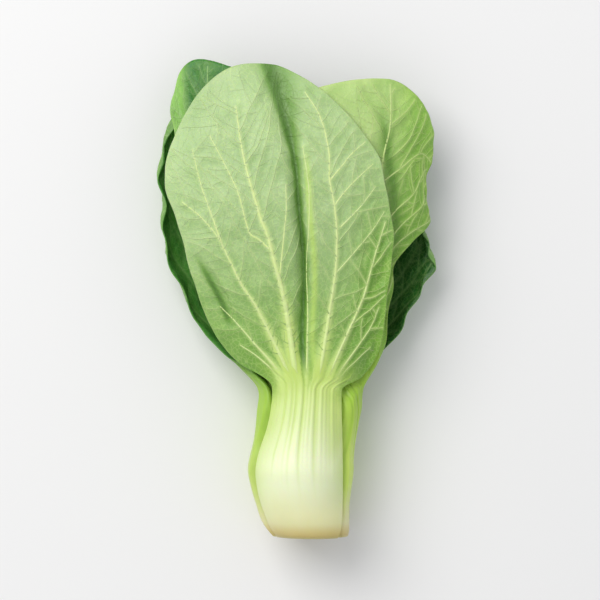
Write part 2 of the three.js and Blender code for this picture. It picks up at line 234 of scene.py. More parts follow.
def ramp(tree, share, *stops):
    """Colours blended between stops, each a share and its colour."""
    node = tree.nodes.new("ShaderNodeValToRGB")
    node.color_ramp.elements[0].position, node.color_ramp.elements[0].color = stops[0]
    node.color_ramp.elements[1].position, node.color_ramp.elements[1].color = stops[-1]
    for position, colour in stops[1:-1]:
        node.color_ramp.elements.new(position).color = colour
    feed(tree, node, {"Fac": share})
    return node.outputs["Color"]


def bump(tree, height, strength, depth):
    """Fine unevenness of a surface."""
    return add(tree, "ShaderNodeBump", {"Height": height, "Strength": strength, "Distance": depth})["Normal"]


RIM_RADIUS = 0.0094

cut_tissue, tree, shader = named_material("cut_stem_tissue", 0.42)
place = add(tree, "ShaderNodeTexCoord", {})["Object"]
middle = (-float(axis_x(0)) * MM, BELLY_HEIGHT * MM, -float(axis_z(0)) * MM)
centred = add(tree, "ShaderNodeMapping", {"Vector": place, "Location": middle})["Vector"]
distance = add(tree, "ShaderNodeVectorMath", {0: centred}, operation="LENGTH")["Value"]
to_rim = add(tree, "ShaderNodeMapRange", {"Value": distance, "From Max": RIM_RADIUS})["Result"]
feed(tree, shader, {
    "Base Color": ramp(tree, to_rim, (0.0, srgb(228, 226, 176)), (0.45, srgb(216, 214, 150)),
                       (0.8, srgb(205, 196, 128)), (1.0, srgb(178, 160, 100))),
    "Normal": bump(tree, noise(tree, 900, 4), 0.5, 0.0006),
    "Subsurface Weight": 0.25,
    "Subsurface Radius": (0.9, 1.0, 0.5),
    "Subsurface Scale": 0.004})

stem = stem_solid(cut_tissue)
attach(stem, "root")
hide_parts("stem_base")


# The leaves grew one after another round the stem, each about 137 degrees on from
# the last, and wrap one another from the outside in: a fat pale stalk, crescent in
# section, that opens at its neck into a thin waved blade with a rib up the middle.
STALK_EDGE = 1.3
BLADE_THICKNESS = 0.8
STALK_GAP = 0.5
BLADE_GAP = 1.3
CORE_GAP = 0.15
LEAST_RADIUS = 0.35
RIB_HEIGHT = 1.6
RIB_WIDTH = 3.2
RIPPLE_COUNT = 2.6
SMALL_RIPPLE_COUNT = 5.7
DROP_POWER = 1.6
ARCH_POWER = 2.1
STEEPEST = 0.55
NUDGE = 0.002
stalk_thickness = through((0, 7), (3, 6.3), (10, 5.9), (24, 6.1), (40, 6), (62, 4.8))


def across(radius, *points):
    """A leaf's edge given by its place across the head, as an angle."""
    x = through(*points)

    def angle(height):
        share = (x(height) - axis_x(height)) / (spread(height) * radius(height))
        return np.degrees(np.arccos(np.clip(share, -0.998, 0.998)))
    return angle


def inner_radius(at_stalk, at_blade):
    return through((0, 21), (40, at_stalk + 2), (62, at_stalk), (90, at_blade), (195, at_blade))


front_radius = through((0, 16), (2, 17), (6, 18.2), (12.7, 18.9), (19, 19.9), (26, 21), (31, 20.7),
                       (40, 19.6), (52, 18.5), (62, 18), (80, 18.4), (110, 19.4), (140, 20), (165, 19.6),
                       (190, 18.4))
lower_radius = through((0, 16.2), (2, 17.4), (6, 18.9), (12.7, 19.4), (19, 20.6), (26, 21.7), (31, 21.3),
                       (40, 19.8), (52, 18.6), (62, 18), (80, 19.6), (100, 21), (130, 20.8), (165, 20),
                       (190, 18))
right_radius = through((0, 14.2), (2, 15.2), (6, 16.5), (12.7, 18.5), (19, 20.1), (26, 21.3), (31, 21),
                       (45, 20), (60, 19.2), (75, 17), (88, 16.2), (110, 16.4), (126, 17), (150, 16.8),
                       (165, 17.6), (190, 16.6))
left_radius = through((0, 21), (45, 18.4), (62, 17), (85, 15.4), (150, 15.6), (180, 16.2), (195, 16))
under_radius = through((0, 21), (45, 19), (62, 17.4), (85, 17.6), (100, 18.5), (114, 18.2), (128, 16.4),
                       (150, 15.2), (190, 15))
# A fold's line, depth and width, and the strength of the painted highlight on the ridge beside it.
front_pleat = {
    "line": through((66, 1.8), (80, 0.7), (107, 1.7), (132, -0.5), (153, -2.9), (190, -13)),
    "depth": through((64, 0), (82, 2.8), (110, 4), (150, 4), (170, 3.4), (190, 3.8)),
    "width": through((64, 2.4), (150, 2.8), (172, 5.5), (190, 8.5)), "painted_rim_light": 0.8}
front_side_fold = {
    "line": through((84, -28), (95, -32), (122, -47)),
    "depth": through((82, 0), (92, 1.4), (102, 1.2), (114, 0)),
    "width": through((80, 3), (130, 3)), "painted_rim_light": 0}

leaves = [
    dict(name="leaf_front", slot="leaf_outer", start=0, neck=61, tip=190, corners=(150, 152), lean=-0.15,
         radius=front_radius, cups=(0, 0), thickness=1, ripple=0.15, folds=(front_pleat, front_side_fold),
         first=across(front_radius, (0, -9.2), (3, -11.4), (6, -12.8), (13, -15.5), (20, -17.2),
                      (27, -17.8), (33, -16.8), (38, -15.2), (44, -13.2), (52, -11.6), (61, -11.4),
                      (64, -14.5), (70, -24.8), (82, -34.6), (97, -40.9), (121, -47.8), (139, -53.5),
                      (147, -54.1), (160, -52)),
         last=across(front_radius, (0, 15), (3, 16.2), (12, 17), (34, 17), (58, 16.6), (60.5, 17.6),
                     (64, 24.6), (75, 31.8), (88, 33.8), (118, 37.2), (135, 35.3), (152, 31.5)),
         spine=across(front_radius, (0, 4.5), (26, 0), (62, 2.5), (80, 0.7), (107, 1.7), (132, -0.5),
                      (153, -2.9), (190, -13))),
    dict(name="leaf_lower_left", slot="leaf_under", start=0, neck=66, tip=186, corners=(150, 168), lean=0.1,
         radius=lower_radius, cups=(-2.4, -2.6), thickness=1, ripple=0.6,
         first=through((0, 302), (30, 300), (50, 284), (66, 277), (82, 296), (120, 306), (195, 300)),
         last=through((0, 144), (30, 138), (46, 142), (56, 144), (62, 150), (69, 170), (76, 187),
                      (138, 188), (154, 197), (170, 204), (195, 204)),
         spine=through((0, 227), (66, 233), (120, 240), (195, 236))),
    dict(name="leaf_right", slot="leaf_outer", start=0, neck=74, tip=184, corners=(170, 154), lean=-0.1,
         radius=right_radius, cups=(-1, 0), thickness=1, ripple=0.35,
         first=through((0, 46), (5, 60), (13, 70), (30, 72), (50, 60), (74, 66), (95, 88), (120, 100),
                       (195, 104)),
         last=through((0, -55), (7, -66), (30, -66), (50, -34), (62, -16), (74, 8), (88, 30), (104, 34),
                      (111, 35), (119, 24), (127, 8), (143, 14), (163, 6)),
         spine=through((0, 5), (40, 9), (74, 42), (100, 52), (195, 48))),
    dict(name="leaf_upper_left", slot="leaf_outer", start=6, neck=68, tip=192, corners=(174, 160),
         lean=-0.15, radius=left_radius, cups=(0, -1), thickness=0.78, ripple=0.4,
         first=through((0, 212), (30, 208), (50, 184), (68, 178), (85, 167), (195, 166)),
         last=through((0, 72), (30, 76), (50, 100), (68, 106), (85, 90), (120, 82), (195, 84)),
         spine=through((0, 142), (68, 142), (110, 132), (195, 134))),
    dict(name="leaf_lower_right", slot="leaf_under", start=6, neck=64, tip=177, corners=(132, 150), lean=0,
         radius=under_radius, cups=(0, -1), thickness=0.78, ripple=0.8,
         first=through((0, 350), (30, 346), (50, 332), (64, 336), (82, 353), (195, 357)),
         last=through((0, 210), (30, 216), (50, 240), (64, 252), (85, 256), (195, 258)),
         spine=through((0, 280), (64, 294), (110, 308), (195, 304))),
    dict(name="leaf_inner_1", slot="leaf_inner", start=10, neck=62, tip=165, corners=(146, 142), lean=0,
         radius=inner_radius(14.5, 12), cups=(0, 0), thickness=0.55, ripple=0.8,
         first=through((0, 92), (25, 102), (62, 98), (85, 110), (195, 112)),
         last=through((0, 16), (25, 10), (62, 22), (85, 12), (195, 14)),
         spine=through((0, 57), (195, 62))),
    dict(name="leaf_inner_2", slot="leaf_inner", start=10, neck=64, tip=191, corners=(172, 160), lean=-0.2,
         radius=inner_radius(14, 13), cups=(0, 0), thickness=0.55, ripple=0.6,
         first=through((0, 214), (25, 238), (64, 234), (85, 246), (195, 244)),
         last=through((0, 176), (25, 154), (64, 160), (85, 162), (195, 166)),
         spine=through((0, 195), (195, 208))),
    dict(name="leaf_inner_3", slot="leaf_inner", start=11, neck=58, tip=152, corners=(130, 134), lean=0.1,
         radius=inner_radius(12.5, 11), cups=(0, 0), thickness=0.48, ripple=0.8,
         first=through((0, 346), (25, 372), (58, 366), (80, 376), (195, 374)),
         last=through((0, 316), (25, 294), (58, 298), (80, 276), (195, 268)),
         spine=through((0, 332), (195, 322))),
    dict(name="leaf_inner_4", slot="leaf_inner", start=14, neck=56, tip=134, corners=(116, 112), lean=0,
         radius=inner_radius(8.5, 8.4), cups=(0, 0), thickness=0.38, ripple=0.6,
         first=through((0, 134), (30, 146), (56, 146), (80, 150), (195, 150)),
         last=through((0, 86), (30, 72), (56, 76), (80, 58), (195, 56)),
         spine=through((0, 110), (195, 104))),
    dict(name="leaf_inner_5", slot="leaf_inner", start=16, neck=54, tip=122, corners=(104, 106), lean=0,
         radius=inner_radius(7.5, 7.4), cups=(0, 0), thickness=0.3, ripple=0.6,
         first=through((0, 258), (30, 280), (54, 282), (80, 300), (195, 302)),
         last=through((0, 234), (30, 214), (54, 212), (80, 202), (195, 200)),
         spine=through((0, 247), (195, 252))),
    dict(name="leaf_heart", slot="leaf_young", start=22, neck=44, tip=92, corners=(82, 82), lean=0,
         radius=inner_radius(4.6, 4.6), cups=(0, 0), thickness=0.24, ripple=0.4,
         first=through((18, 50), (30, 66), (44, 70), (60, 92), (195, 96)),
         last=through((18, 4), (30, -10), (44, -16), (60, -34), (195, -38)),
         spine=through((0, 26), (195, 28))),
]


def smoothstep(low, high, value):
    t = np.clip((value - low) / (high - low), 0, 1)
    return t * t * (3 - 2 * t)


def bell(distance, reach):
    """1 on a line, falling off smoothly to each side of it."""
    return np.exp(-(distance / reach) ** 2)


def soft_min(a, b, reach):
    near = np.maximum(reach - np.abs(a - b), 0) / reach
    return np.minimum(a, b) - near * near * reach / 4


class Room:
    """The room left inside the leaves placed so far: the largest free radius by angle and height."""
    SECTORS, RINGS, RING_STEP, OPEN = 72, 80, 2.5, 1.3

    def __init__(self):
        self.claimed = np.full((self.RINGS, self.SECTORS), self.OPEN)
        self.free = self.claimed.copy()

    def at(self, angle, height):
        sector = np.mod(angle / 360 * self.SECTORS, self.SECTORS)
        ring = np.clip(height / self.RING_STEP, 0, self.RINGS - 1.001)
        a, r = np.floor(sector).astype(int) % self.SECTORS, np.floor(ring).astype(int)
        b, s, t = (a + 1) % self.SECTORS, sector - np.floor(sector), ring - r
        below = self.free[r, a] * (1 - s) + self.free[r, b] * s
        above = self.free[r + 1, a] * (1 - s) + self.free[r + 1, b] * s
        return (below * (1 - t) + above * t) * front_radius(height)

    def claim(self, angle, height, radius):
        sector = np.floor(angle / 360 * self.SECTORS + 0.5).astype(int) % self.SECTORS
        ring = np.clip(np.floor(height / self.RING_STEP + 0.5).astype(int), 0, self.RINGS - 1)
        np.minimum.at(self.claimed, (ring, sector), radius / front_radius(height))
        self.free = self.neighbours(self.neighbours(self.claimed).min(axis=0)).mean(axis=0)

    def neighbours(self, grid):
        tall = np.pad(grid, ((1, 1), (0, 0)), mode="edge")
        rows = [tall[i:i + self.RINGS] for i in range(3)]
        return np.array([np.roll(row, turn, axis=1) for row in rows for turn in (-1, 0, 1)])


room = Room()


def angle_and_height(leaf, side, along):
    """side is -1 at the first edge and 1 at the last; along is 0-1 up the stalk, 1-2 up the blade."""
    blade = np.maximum(along - 1, 0)
    middle = np.where(along <= 1, leaf["start"] + (leaf["neck"] - leaf["start"]) * along,
                      leaf["neck"] + (leaf["tip"] - leaf["neck"]) * blade)
    drops = [(leaf["tip"] - corner) * blade ** DROP_POWER for corner in leaf["corners"]]
    from_tip = side - leaf["lean"]
    drop = np.where(from_tip < 0, drops[0], drops[1])
    reach = np.where(from_tip < 0, 1 + leaf["lean"], 1 - leaf["lean"])
    height = middle - drop * np.minimum(np.abs(from_tip / reach), 1) ** ARCH_POWER
    spine = leaf["spine"](middle)
    edge = np.where(side < 0, leaf["first"](middle - drops[0]), leaf["last"](middle - drops[1]))
    return spine + (edge - spine) * np.abs(side), height, blade


def outside(leaf, side, along):
    """The outer face of a leaf: its own wish, kept inside the leaves over it and above the table."""
    angle, height, blade = angle_and_height(leaf, side, along)
    blade_share = smoothstep(0, 0.35, blade)
    cup = np.where(side < 0, leaf["cups"][0], leaf["cups"][1]) * side * side * blade_share
    start = float(leaf["spine"](0)) + np.where(side < 0, 2, 0)
    waves = 0.65 * np.sin(2 * math.pi * RIPPLE_COUNT * blade + start)
    waves = waves + 0.45 * np.sin(2 * math.pi * SMALL_RIPPLE_COUNT * blade + 2.3 * start)
    ripple = leaf["ripple"] * blade_share * np.abs(side) ** 1.5 * waves
    wanted = leaf["radius"](height) + cup + ripple
    x = axis_x(height) + ray(angle, height)[..., 0] * wanted
    for fold in leaf.get("folds", ()):
        wanted = wanted - fold["depth"](height) * bell(x - fold["line"](height), fold["width"](height))
    gap = STALK_GAP + (BLADE_GAP - STALK_GAP) * smoothstep(40, 75, height)
    in_room = soft_min(wanted, room.at(angle, height) - gap, 1.2)
    down = -ray(angle, height)[..., 2]
    on_table = np.where(down > 0, axis_z(height) / np.maximum(down, 1e-9), np.inf)
    return angle, height, np.minimum(in_room, on_table), blade


def thickness_at(leaf, side, angle, height, radius, blade):
    """A crescent across the stalk, and a thin blade with a rib."""
    fat = stalk_thickness(height) * leaf["thickness"]
    edge = STALK_EDGE * (0.6 + 0.4 * leaf["thickness"])
    crescent = edge + np.maximum(fat - edge, 0) * (1 - side * side) ** 1.1
    turn = np.radians(angle)
    stretch = np.hypot(spread(height) * np.sin(turn), rise(height) * np.cos(turn))
    from_rib = (angle - leaf["spine"](height)) * (np.radians(1) * radius * stretch)
    rib = RIB_HEIGHT * leaf["thickness"] * (1 - 0.7 * blade) * bell(from_rib, RIB_WIDTH)
    opened = smoothstep(leaf["neck"] - 6, leaf["neck"] + 16, height)
    return crescent + (BLADE_THICKNESS + rib - crescent) * opened


def both_faces(leaf, side, along):
    """Outer and inner points, the outward normal, and the place, for arrays of side and along."""
    def spot(s, a):
        return point_at(*outside(leaf, s, a)[:3])
    angle, height, radius, blade = outside(leaf, side, along)
    left, right = spot(np.maximum(side - NUDGE, -1), along), spot(np.minimum(side + NUDGE, 1), along)
    low, high = spot(side, np.maximum(along - NUDGE, 0)), spot(side, np.minimum(along + NUDGE, 2))
    normal = np.cross(right - left, high - low)
    normal /= np.maximum(np.linalg.norm(normal, axis=-1, keepdims=True), 1e-12)
    outwards = ray(angle, height)
    length = np.linalg.norm(outwards, axis=-1)
    slant = np.maximum(np.abs((outwards * normal).sum(axis=-1)), STEEPEST * length)
    inner = radius - thickness_at(leaf, side, angle, height, radius, blade) / slant
    inner = np.maximum(np.maximum(inner, core_radius(height) + CORE_GAP), LEAST_RADIUS)
    return dict(outer=point_at(angle, height, radius), inner=point_at(angle, height, inner), normal=normal,
                height=height, inner_radius=inner, blade=blade)


CLAIM_REACH = 1.1
CLAIM_SIDES = 91
CLAIM_ALONGS = 261


def claim_room(leaf):
    """Takes a leaf's room, and a little beside its edges, from the leaves further in."""
    sides, alongs = np.linspace(-CLAIM_REACH, CLAIM_REACH, CLAIM_SIDES), np.linspace(0, 2, CLAIM_ALONGS)
    reach, along = np.meshgrid(sides, alongs, indexing="ij")
    faces = both_faces(leaf, np.clip(reach, -1, 1), along)
    room.claim(angle_and_height(leaf, reach, along)[0], faces["height"], faces["inner_radius"])


# Veins carry water up the leaf. The midrib and a few main veins fan out of the stalk,
# side veins leave them and join their neighbours, and finer ones net the tissue
# between. On the back they stand proud, and the tissue between them sinks.
CHART_COLUMNS = 120
CHART_ROWS = 240
CELL = 0.5
STEP = 1.0


def chart(leaf):
    """A leaf laid flat: millimetres across and up, over a grid of (side, along)."""
    sides = np.linspace(-1, 1, CHART_COLUMNS + 1)
    alongs = np.linspace(0, 2, CHART_ROWS + 1)
    along, side = np.meshgrid(alongs, sides, indexing="ij")
    points = both_faces(leaf, side, along)["outer"]
    if "seen_veins" in leaf:
        return points[..., 0], points[..., 1] + BELLY_HEIGHT
    steps = np.linalg.norm(np.diff(points, axis=1), axis=-1)
    run = np.concatenate([np.zeros((len(steps), 1)), np.cumsum(steps, axis=1)], axis=1)
    return run - run[:, CHART_COLUMNS // 2, None], points[..., 1] + BELLY_HEIGHT


def sample(grid, column, row):
    """A grid's value between its points."""
    column = np.clip(column, 0, grid.shape[1] - 1.001)
    row = np.clip(row, 0, grid.shape[0] - 1.001)
    c, r = column.astype(int), row.astype(int)
    s, t = column - c, row - r
    low = grid[r, c] * (1 - s) + grid[r, c + 1] * s
    high = grid[r + 1, c] * (1 - s) + grid[r + 1, c + 1] * s
    return low * (1 - t) + high * t


def place_on_leaf(flat, places):
    """The (side, along) of places given in millimetres on a leaf laid flat."""
    across_grid, up_grid = flat
    columns = across_grid.shape[1]
    finder = kdtree.KDTree(across_grid.size)
    for i, (u, v) in enumerate(zip(across_grid.ravel().tolist(), up_grid.ravel().tolist())):
        finder.insert((u, v, 0), i)
    finder.balance()
    nearest = np.array([finder.find((u, v, 0))[1] for u, v in places.tolist()])
    column, row = (nearest % columns).astype(float), (nearest // columns).astype(float)
    for _ in range(4):
        miss_u = places[:, 0] - sample(across_grid, column, row)
        miss_v = places[:, 1] - sample(up_grid, column, row)
        uc, ur, vc, vr = [sample(grid, column + dc, row + dr) - sample(grid, column - dc, row - dr)
                          for grid in (across_grid, up_grid) for dc, dr in ((0.5, 0), (0, 0.5))]
        size = uc * vr - ur * vc
        size = np.where(np.abs(size) < 1e-6, 1e-6, size)
        column = np.clip(column + np.clip((miss_u * vr - miss_v * ur) / size, -2, 2), 0, CHART_COLUMNS)
        row = np.clip(row + np.clip((miss_v * uc - miss_u * vc) / size, -2, 2), 0, CHART_ROWS)
    return column / CHART_COLUMNS * 2 - 1, row / CHART_ROWS * 2


def resampled(path, step):
    """A path's points at an even step along a smooth line through them."""
    path = np.asarray(path, dtype=float)
    run = np.concatenate([[0], np.cumsum(np.linalg.norm(np.diff(path, axis=0), axis=1))])
    wanted = np.linspace(0, run[-1], max(int(run[-1] / step), 1) + 1)
    if len(path) < 3:
        return np.stack([np.interp(wanted, run, path[:, i]) for i in range(2)], axis=1)
    return np.stack([through(*zip(run, path[:, i]))(wanted) for i in range(2)], axis=1)


def vein(path, thick, thin, order):
    """A vein as a flat path with a half width that thins out along it."""
    share = np.linspace(0, 1, len(path))
    return dict(path=path, half_width=thick + (thin - thick) * share ** 0.65, order=order)


def main_veins(leaf, flat):
    """The midrib, and the side veins that leave it in pairs, fanned near the neck."""
    fat = 0.55 + 0.45 * leaf["thickness"]
    lines = [(0, 0.72, 0, 1.98, 1.7 * fat, 0.3)]
    for low, high, thick in leaf["pairs"]:
        lines += [(0, low, side, high, thick * fat, 0.25) for side in (-0.96, 0.96)]
    veins = []
    for number, (side_a, low, side_b, high, thick, thin) in enumerate(lines):
        t = np.linspace(0, 1, 30)
        wave = 0.02 * np.sin(7 * t + number * 1.9) * t
        side = side_a + (side_b - side_a) * t + wave
        along = low + (high + 0.03 * math.sin(number * 2.3) - low) * (0.72 * t + 0.28 * t * t)
        column = (side + 1) / 2 * CHART_COLUMNS
        row = np.minimum(along, 1.99) / 2 * CHART_ROWS
        path = np.stack([sample(flat[0], column, row), sample(flat[1], column, row)], axis=1)
        veins.append(vein(resampled(path, STEP), thick, thin, 0))
    return veins


MARGIN_STOPS = 1200
LONGEST_VEIN = 90


def grow_veins(flat, mains, orders, seed):
    """Finer veins leave coarser ones and grow on until they meet another vein or the margin."""
    rng = np.random.default_rng(seed)
    low_u, low_v = flat[0].min() - 2, flat[1].min() - 2
    shape = (int((flat[1].max() + 2 - low_v) / CELL) + 2, int((flat[0].max() + 2 - low_u) / CELL) + 2)
    taken = np.zeros(shape, dtype=int)
    margin = np.full((shape[0], 2), np.nan)
    stops = np.linspace(0, 1, MARGIN_STOPS)
    for edge, column in ((0, 0.4), (1, CHART_COLUMNS - 0.4)):
        columns, rows = np.full(MARGIN_STOPS, column), stops * CHART_ROWS * 0.995
        u, v = sample(flat[0], columns, rows), sample(flat[1], columns, rows)
        margin[((v - low_v) / CELL).astype(int), edge] = u
    columns, rows = stops * CHART_COLUMNS, np.full(MARGIN_STOPS, CHART_ROWS * 0.99)
    top_u, top_v = sample(flat[0], columns, rows), sample(flat[1], columns, rows)
    peak = top_u[top_v.argmax()]
    for u, v in zip(top_u, top_v):
        row = int((v - low_v) / CELL)
        edge = 0 if u < peak else 1
        if np.isnan(margin[row, edge]):
            margin[row, edge] = u

    def cell(place):
        return int((place[1] - low_v) / CELL), int((place[0] - low_u) / CELL)

    def on_blade(place):
        row = cell(place)[0]
        return 0 <= row < shape[0] and margin[row, 0] + 0.4 < place[0] < margin[row, 1] - 0.4

    def mark(path, number):
        for place in resampled(path, 0.3) if len(path) > 1 else path:
            r, c = cell(place)
            if 0 <= r < shape[0] and 0 <= c < shape[1]:
                taken[r, c] = number

    veins = list(mains)
    for number, found in enumerate(veins, 1):
        mark(found["path"], number)
    for order, spacing, turn, thick, floor_height in orders:
        for parent_number, parent in enumerate(list(veins), 1):
            path = parent["path"]
            distance_left, hand = spacing * rng.uniform(0.3, 0.9), rng.choice((-1, 1))
            for i in range(1, len(path) - 1):
                distance_left -= STEP
                if distance_left > 0:
                    continue
                distance_left = spacing * rng.uniform(0.38, 0.66)
                hand = -hand
                ahead = path[i + 1] - path[i - 1]
                parent_heading = math.atan2(ahead[0], ahead[1])
                heading = parent_heading + hand * math.radians(turn + rng.normal(0, 7))
                goal = parent_heading + hand * math.radians(turn * 0.55)
                place, grown = path[i].copy(), [path[i].copy()]
                if place[1] < floor_height:
                    continue
                for step in range(LONGEST_VEIN):
                    heading += 0.06 * (goal - heading) + rng.normal(0, 0.07)
                    place = place + STEP * np.array([math.sin(heading), math.cos(heading)])
                    if not on_blade(place):
                        break
                    grown.append(place)
                    r, c = cell(place)
                    near = taken[r - 1:r + 2, c - 1:c + 2]
                    others = near[(near > 0) & ((near != parent_number) | (step > 3))]
                    if len(others) and step > 0:
                        break
                if len(grown) > 3:
                    start = min(thick, float(parent["half_width"][i]) * 0.85)
                    veins.append(vein(np.array(grown), start, min(thick * 0.55, start), order))
                    mark(grown, len(veins))
    return veins


def finder_of(points):
    tree = kdtree.KDTree(len(points))
    for i, point in enumerate(points.tolist()):
        tree.insert(point, i)
    tree.balance()
    return tree


def nearest(tree, points):
    found = [tree.find(point) for point in points.tolist()]
    return np.array([f[2] for f in found]), np.array([f[1] for f in found])


def vein_map(leaf):
    """Every vein of a leaf as places on its outer face, with what its relief needs."""
    flat = chart(leaf)
    if "seen_veins" in leaf:
        mains = [vein(resampled(path, STEP), thick, thin, 0) for thick, thin, path in leaf["seen_veins"]]
    else:
        mains = main_veins(leaf, flat)
    orders = [(1, 11, 46, 0.42, leaf["neck"] + 15), (2, 6.5, 58, 0.25, leaf["neck"] + 12)]
    if leaf["fine"]:
        orders.append((3, 4.4, 70, 0.12, leaf["neck"] + 10))
    veins = grow_veins(flat, mains, orders, leaf["seed"])
    counts = np.array([len(v["path"]) for v in veins])
    side, along = place_on_leaf(flat, np.concatenate([v["path"] for v in veins]))
    faces = both_faces(leaf, side, along)
    outer = faces["outer"]
    order = np.repeat([v["order"] for v in veins], counts)
    half_width = np.concatenate([v["half_width"] for v in veins])
    main, coarse, middling = order == 0, order <= 1, order == 2
    same = np.repeat(np.arange(len(veins)), counts)
    joined = (same[1:] == same[:-1]) & coarse[1:]
    between = (outer[1:] * 0.5 + outer[:-1] * 0.5)[joined]
    width_between = ((half_width[1:] + half_width[:-1]) / 2)[joined]
    return dict(counts=counts, faces=faces, side=side, order=order, half_width=half_width,
                main=finder_of(outer[main]), main_width=half_width[main],
                coarse=finder_of(np.concatenate([outer[coarse], between])),
                coarse_width=np.concatenate([half_width[coarse], width_between]),
                fine=finder_of(outer[middling]) if middling.any() else None)


QUILT_DEPTH = 0.6
QUILT_REACH = 3.2
NET_DEPTH = 0.16
NET_REACH = 0.9
ROLL_DEPTH = 0.16
STRAND_DEPTH = 0.15


def bareness_and_shade(leaf, side, height):
    """How far the back turns from its pale coat to its darker, more saturated colour. On the leaf in front
    this is painted shade on the lower part of its last side, which turns from the light, and it is also the
    wrinkled part.
    """
    start, end, share = leaf["dull"]
    bare = smoothstep(start, end, np.ravel(side)) * share
    if leaf["name"] == "leaf_front":
        bare = bare * (1 - 0.85 * smoothstep(108, 152, np.ravel(height)))
    return bare


def relief(leaf, veins, faces, side):
    """How far each face lies out from the bare form, and the marks that colour the tissue."""
    outer = faces["outer"].reshape(-1, 3)
    x, y, z = outer.T
    side, height = np.ravel(side), np.ravel(faces["height"])
    seed, neck, in_front = leaf["seed"], leaf["neck"], leaf["name"] == "leaf_front"
    away, which = nearest(veins["coarse"], outer)
    width = veins["coarse_width"][which]
    main_away, which = nearest(veins["main"], outer)
    main_width = veins["main_width"][which]
    opened = smoothstep(neck - 2, neck + 14, height)
    near_neck = 1 - smoothstep(neck + 4, neck + 44, height)
    # On the leaf in front, bare is painted shade: its lower last side turns darker where it faces away from
    # the light.
    bare = bareness_and_shade(leaf, side, height)

    ridge = np.minimum(0.45 * width, 0.6) * bell(away, width * 1.5 + 0.5)
    ridge *= smoothstep(neck - 22, neck + 4, height)
    sink = QUILT_DEPTH * (1 - bell(away, QUILT_REACH))
    if veins["fine"]:
        sink = sink + NET_DEPTH * (1 - bell(nearest(veins["fine"], outer)[0], NET_REACH))
    if in_front:
        sink = sink * (0.6 + 1.7 * bare)
    sink = sink * smoothstep(0, 0.12, 1 - np.abs(side))
    roll = np.sin(x * 0.19 + z * 0.31 + seed) * np.sin(y * 0.13 + seed * 2.1 + x * 0.05)
    roll += 0.6 * np.sin(x * 0.41 - y * 0.23 + seed) * np.sin(y * 0.33 + z * 0.2)
    roll *= ROLL_DEPTH
    turn = side * leaf["strands"]
    strands = np.sin(turn * 3.1 + seed) + 0.6 * np.sin(turn * 5.3) + 0.45 * np.sin(turn * 8.9 + 1)
    strands *= smoothstep(12, 52, height) * (1 - opened) * (1 - side ** 4)
    groove_and_shade = np.clip(-strands, 0, 1) * 0.7
    groove_and_shade = np.maximum(groove_and_shade, np.abs(side) ** 2.6 * smoothstep(4, 26, height))
    # Painted shade: each stalk turns greener towards its last side, from the belly up, where it faces away
    # from the light.
    groove_and_shade = np.maximum(groove_and_shade, 0.95 * smoothstep(0.3, 0.85, side) * smoothstep(16, 42, height))
    strands *= STRAND_DEPTH
    outer_move = (ridge - sink + roll) * opened + strands
    inner_move = (roll - sink + 0.4 * np.minimum(ridge, 0.4)) * opened + 0.4 * strands

    mask = bell(away, width * 0.95 + 0.22) * np.clip(width / 0.8, 0.45, 1)
    if in_front:
        mask *= 1 - 0.6 * (1 - bare) * (1 - smoothstep(0.45, 0.7, width))
    flare = 1 + 1.6 * near_neck * smoothstep(0.4, 1, main_width)
    main_mask = bell(main_away, main_width * 0.95 * flare + 0.22) * np.clip(main_width / 0.8, 0.45, 1)
    # Painted shade: a dark border just beside each coarse vein, where the tissue sinks, stronger where the
    # back is bare or painted shaded.
    valley_shade = bell(away - 1.2 * width - 1.1, 0.75) * opened
    valley_shade *= smoothstep(0.12, 0.4, width) * (0.2 + 0.8 * bare)
    flame = bell(main_away, main_width * 2.1 + 0.5) * near_neck * smoothstep(0.5, 1.2, main_width)
    # Painted shade in each fold: the mark darkens the tissue along the crease line, narrower on its near
    # side, with a darker core.
    fold = np.zeros(len(height))
    for pleat in leaf.get("folds", ()):
        off_line = (x - pleat["line"](height)) / pleat["width"](height)
        narrow = np.where(off_line < 0, 2.4, 1.4 - 0.75 * smoothstep(140, 172, height))
        shade = 0.75 * bell(off_line * narrow, 1) + 0.35 * bell(off_line * 2.6, 1)
        # A painted highlight: the strip of ridge just beside the crease is made lighter.
        shade = shade - pleat["painted_rim_light"] * bell(off_line - 1.75, 0.55) * (1 - smoothstep(140, 162, height))
        fold += np.minimum(pleat["depth"](height) / 1.2, 1) * shade
    # Painted shadow: a dark band along a given line, with a slight dip in the surface, where the leaf in
    # front lies over this one.
    for dip in leaf.get("dips", ()):
        near = dip["depth"](height) * bell(x - dip["line"](height), dip["width"])
        outer_move = outer_move - 0.5 * near
        inner_move = inner_move - 0.5 * near
        fold += 0.7 * near
    # The back is pale where this mark is high; on the leaf in front it drops where the painted shade lies.
    bloom_minus_painted_shade = smoothstep(neck - 4, neck + 75, height) * (1 - bare)
    marks = dict(vein=np.maximum(mask, main_mask), groove_and_shade=groove_and_shade, fold=fold, valley_shade=valley_shade, flame=flame,
                 bare=bare, bloom_minus_painted_shade=bloom_minus_painted_shade, up=height / HEAD_LENGTH)
    return outer_move, inner_move, marks


def store(mesh, name, values):
    """One number at each point of a mesh, for its material to read."""
    attribute = mesh.attributes.new(name, "FLOAT", "POINT")
    attribute.data.foreach_set("value", np.asarray(values, dtype=np.float32))


